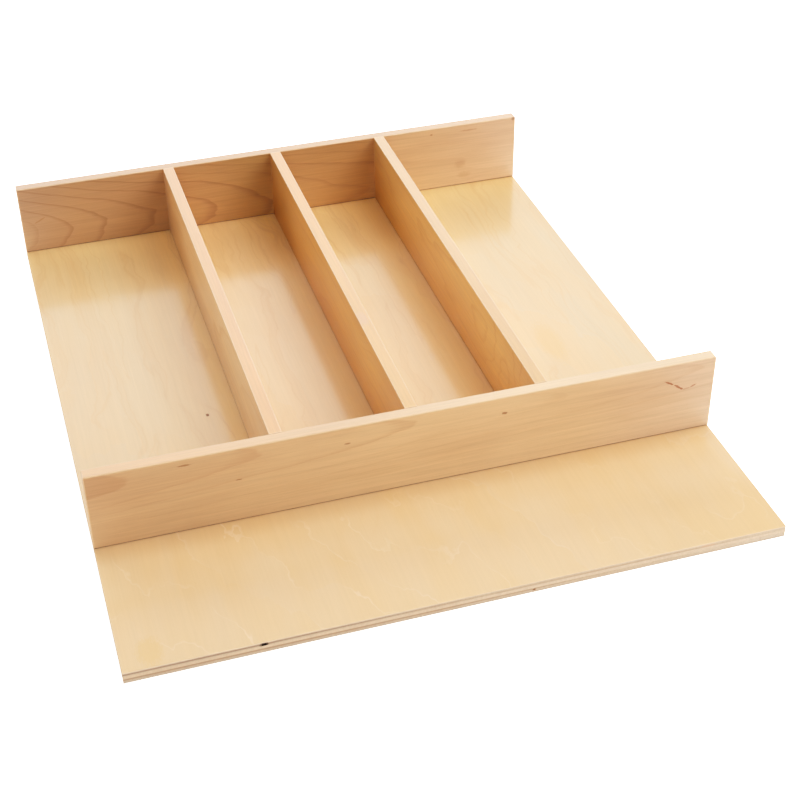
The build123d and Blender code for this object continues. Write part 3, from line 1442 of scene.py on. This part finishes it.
# Back rail: its tones are painted shade along the face, darkest behind the left bays and just left of each
# divider, lighter on the right; its top colours and lighter foot are painted light.
BACK_RAIL = Maple(
    tones=(
        (0.0, (0.48, 0.257, 0.124)), (60.0, (0.515, 0.26, 0.107)), (125.0, (0.52, 0.25, 0.093)),
        (160.0, (0.575, 0.296, 0.105)), (225.0, (0.48, 0.243, 0.072)), (250.0, (0.55, 0.278, 0.096)),
        (320.0, (0.53, 0.257, 0.082)), (350.0, (0.645, 0.383, 0.188)), (460.0, (0.665, 0.39, 0.215)),
    ),
    near_top=(0.57, 0.27, 0.094), far_top=(0.675, 0.342, 0.134), painted_light_at_foot=(1.20, 1.28, 1.32),
    heart=48.0, depth=111.0, taper=0.106, reach=250.0, spacing=3.0, wander=3.0, shift=-0.37,
    line=0.46, line_fade=200.0, line_end=335.0, line_rest=0.22, late=(0.30, 0.125, 0.05), seed=4.1,
    marks=(
        Mark((386.0, 6.0, 0.0), (1.3, 0.8, 1.0), RUST, 0.8),
        Mark((423.0, 6.5, 0.0), (8.0, 0.8, 1.0), RUST, 0.5, 0.0, 0.3, 0.5),
        Mark((16.0, 33.0, 0.0), (5.0, 0.8, 1.0), RUST, 0.5, -0.5),
        Mark((468.0, 1.5, 0.0), (2.0, 1.5, 1.5), PIN, 0.7),
        Mark((415.0, 41.0, 0.0), (5.0, 4.0, 1.0), RUST, 0.22, 0.0, 0.3, 0.5),
        Mark((419.0, 53.0, 0.0), (6.0, 3.0, 1.0), RUST, 0.22, 0.0, 0.3, 0.5),
    ),
)
# Dividers: their tones are painted shade along the faces, darker towards the back rail; their top colours
# are painted light.
LEFT_DIVIDER = Maple(
    tones=(
        (0.0, (0.68, 0.425, 0.215)), (95.0, (0.765, 0.47, 0.217)), (235.0, (0.78, 0.45, 0.193)),
        (305.0, (0.795, 0.443, 0.182)), (375.0, (0.72, 0.37, 0.13)), (415.0, (0.575, 0.285, 0.109)),
    ),
    near_top=(0.79, 0.355, 0.116), far_top=(0.76, 0.342, 0.108),
    heart=30.0, depth=60.0, taper=0.05, spacing=5.0, wander=7.0, line=0.26, seed=7.7,
)
CENTRE_DIVIDER = Maple(
    tones=(
        (0.0, (0.74, 0.41, 0.145)), (95.0, (0.80, 0.446, 0.123)), (165.0, (0.80, 0.436, 0.115)),
        (235.0, (0.755, 0.40, 0.10)), (305.0, (0.708, 0.371, 0.096)), (375.0, (0.55, 0.266, 0.06)),
        (415.0, (0.504, 0.234, 0.055)),
    ),
    near_top=(0.79, 0.382, 0.10), far_top=(0.78, 0.338, 0.092),
    heart=60.0, depth=45.0, taper=0.03, spacing=6.0, wander=9.0, line=0.26, seed=11.9,
    knot=(120.0, 0.0, 9.5), knot_size=24.0, knot_lift=16.0,
    marks=(Mark((122.0, 0.0, 6.0), (9.0, 4.0, 4.0), PINK, 0.40, 0.0, 0.3, 0.5),),
)
RIGHT_DIVIDER = Maple(
    tones=(
        (0.0, (0.765, 0.45, 0.166)), (95.0, (0.89, 0.56, 0.18)), (165.0, (0.865, 0.52, 0.168)),
        (235.0, (0.84, 0.495, 0.153)), (305.0, (0.80, 0.46, 0.136)), (375.0, (0.71, 0.405, 0.107)),
        (415.0, (0.615, 0.33, 0.091)),
    ),
    near_top=(0.705, 0.356, 0.104), far_top=(0.755, 0.394, 0.143),
    heart=20.0, depth=80.0, taper=0.04, spacing=5.0, wander=8.0, line=0.30, seed=15.2,
    knot=(60.0, 25.0, 9.5), knot_size=30.0, knot_lift=14.0,
)
FACE_VENEER = BirchVeneer(
    # The along and across tones are painted shade and light: lighter towards the back, darker at the sides,
    # and warm, darker strips beside each divider.
    along=(
        (0.0, (0.80, 0.52, 0.278)), (40.0, (0.824, 0.526, 0.276)), (75.0, (0.866, 0.58, 0.326)),
        (100.0, (0.843, 0.556, 0.299)), (120.0, (0.775, 0.483, 0.239)), (150.0, (0.84, 0.55, 0.268)),
        (350.0, (0.84, 0.547, 0.27)), (430.0, (0.885, 0.587, 0.29)), (470.0, (0.945, 0.606, 0.287)),
        (559.0, (1.0, 0.642, 0.26)),
    ),
    across=(
        (0.0, (0.84, 0.84, 0.87)), (65.0, (0.92, 0.94, 0.95)), (105.0, (0.97, 0.93, 0.82)),
        (124.0, (1.115, 1.055, 0.825)), (150.0, (0.97, 0.99, 0.97)), (180.0, (1.0, 1.01, 1.01)),
        (205.0, (0.98, 0.94, 0.81)), (222.0, (1.02, 0.96, 0.70)), (250.0, (1.0, 1.01, 0.96)),
        (280.0, (1.01, 1.01, 0.95)), (305.0, (1.05, 0.99, 0.81)), (322.0, (1.06, 0.98, 0.70)),
        (350.0, (0.95, 0.97, 0.95)), (405.0, (0.87, 0.90, 0.93)), (470.0, (0.84, 0.87, 0.90)),
    ),
    seed=2.6,
    marks=(
        Mark((255.0, 107.0, 1.0), (1.7, 1.3, 1.0), PIN, 1.0),
        Mark((268.0, 398.0, 1.0), (26.0, 9.0, 3.0), BLOTCH, 0.45, 0.0, 0.3, 0.5),
        Mark((14.0, 20.0, 1.0), (12.0, 8.0, 3.0), BLOTCH, 0.38, 0.0, 0.3, 0.4),
    ),
)
BACK_VENEER = BirchVeneer(
    gold=(0.74, 0.42, 0.18), edge=(0.50, 0.39, 0.275), figure_end=-60.0, lacquer=0.25, seed=9.4,
    marks=(
        Mark((180.0, 120.0, 0.0), (11.0, 6.0, 2.0), RUST, 0.6, 0.0, 0.5, 0.5),
        Mark((400.0, 330.0, 0.0), (7.0, 4.0, 2.0), RUST, 0.6, 0.0, 0.5, 0.5),
    ),
)
UPPER_CROSSBAND = PlyEdge(
    tones=(
        (0.0, (0.53, 0.37, 0.235)), (110.0, (0.53, 0.37, 0.23)), (235.0, (0.54, 0.375, 0.235)),
        (470.0, (0.60, 0.42, 0.275)),
    ),
    seed=3.0,
    marks=(
        # Painted shadow filling the void cut into the crossband's edge.
        Mark((0.0, 92.4, 1.2), (7.0, 3.2, 1.5), VOID_SHADOW, 1.0, 0.0, 0.1),
        Mark((0.0, 409.9, 1.2), (4.0, 5.5, 1.2), PINK, 0.5),
        Mark((0.0, 50.0, 1.35), (4.0, 165.0, 0.6), (0.25, 0.13, 0.065), 0.85, 0.0, 0.12, 0.35),
        Mark((0.0, 310.0, 1.0), (4.0, 130.0, 0.45), RUST, 0.35, 0.0, 0.12, 0.35),
    ),
)
CORE = PlyEdge(
    slot="ply_core", tones=((0.0, (0.65, 0.43, 0.255)), (470.0, (0.69, 0.49, 0.32))),
    dark=(0.56, 0.37, 0.23), check=0.2, seed=6.0,
)
LOWER_CROSSBAND = PlyEdge(
    tones=(
        (0.0, (0.50, 0.345, 0.215)), (120.0, (0.49, 0.335, 0.205)), (235.0, (0.54, 0.37, 0.23)),
        (350.0, (0.60, 0.42, 0.265)), (470.0, (0.64, 0.47, 0.32)),
    ),
    seed=5.0,
    marks=(
        Mark((0.0, 280.3, 1.0), (3.0, 1.3, 0.9), RUST, 0.9),
        Mark((0.0, 90.0, 1.75), (4.0, 240.0, 0.55), (0.34, 0.16, 0.07), 0.75, 0.0, 0.15, 0.35),
    ),
)


def main() -> None:
    logging.basicConfig(level=logging.INFO, format="%(name)s: %(message)s")
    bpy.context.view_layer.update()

    base = PlywoodBase([
        Ply("base_face_veneer", FACE_VENEER, arris=0.3 * MM),
        Ply("base_crossband_upper", UPPER_CROSSBAND, recess=0.07 * MM,
            pits=[((-142.6, 6.9), (3.0, 2.8, 0.95))]),
        Ply("base_core_ply", CORE, recess=0.02 * MM),
        Ply("base_crossband_lower", LOWER_CROSSBAND, recess=0.06 * MM,
            pits=[((45.4, 2.3), (0.8, 1.6, 0.6))]),
        Ply("base_back_veneer", BACK_VENEER, arris=0.12 * MM, arris_up=False),
    ])
    boards = [
        Board("front_rail", Lay.RAIL, FRONT_RAIL, pits=[
            ((433.4, 16.3, 0.0), (3.3, 0.25, 0.22), 0.56), ((441.2, 21.4, 0.0), (3.5, 0.3, 0.25), 0.70),
            ((453.2, 22.4, 0.0), (2.2, 0.2, 0.18), -0.35),
        ]),
        Board("back_rail", Lay.RAIL, BACK_RAIL),
        Board("divider_left", Lay.DIVIDER, LEFT_DIVIDER),
        Board("divider_centre", Lay.DIVIDER, CENTRE_DIVIDER),
        Board("divider_right", Lay.DIVIDER, RIGHT_DIVIDER),
    ]
    pieces = base.build()
    pieces += [board.build() for board in boards]
    pieces += [row.build() for row in StapleRow.rows()]
    for piece in pieces:
        LOG.info("%s: %d faces", piece.name, len(piece.data.polygons))

    Studio().build()


if __name__ == "__main__":
    main()
